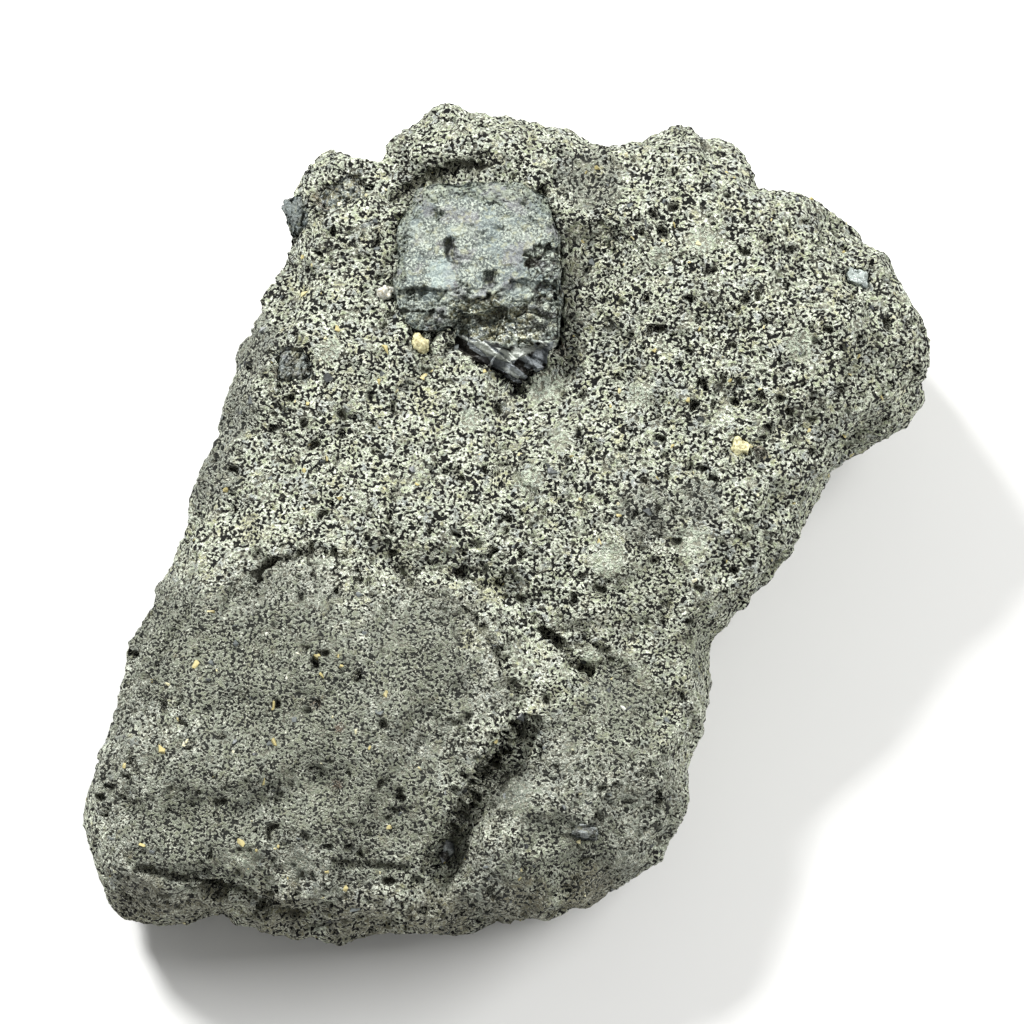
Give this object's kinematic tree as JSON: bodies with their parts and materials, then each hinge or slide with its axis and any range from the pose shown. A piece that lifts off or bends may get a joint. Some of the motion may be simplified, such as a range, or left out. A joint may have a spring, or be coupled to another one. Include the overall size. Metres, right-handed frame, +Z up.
{
  "type": "augite crystal in basalt scoria",
  "caption": "Hand-sized chunk of grey-green vesicular scoria carrying a large dark stubby augite crystal; lies on a flat back with the crystal upwards.",
  "frame": {"origin": "on the resting plane, under the middle of the bounding box", "axes": "+Z up, out of the front face that carries the crystal; +Y towards the end where the main crystal sits; +X to the right as seen from the front"},
  "size_m": [0.101, 0.1, 0.0389],
  "materials": {
    "scoria": "rough, matt, full of small gas bubbles",
    "augite": "dull to half-gloss crystal faces, hackly where broken",
    "feldspar": "pale, slightly glossy grains",
    "glassy": "pale glassy grain"
  },
  "bodies": {
    "root": {"scoria_matrix": "scoria", "augite_crystal": "augite", "augite_recess": "augite", "augite_edge": "augite", "augite_flank": "augite", "augite_lath": "augite", "augite_groove": "augite", "feldspar_white": "feldspar", "feldspar_yellow": "feldspar", "feldspar_patch": "feldspar", "glassy_grain": "glassy"}
  },
  "joints": []
}
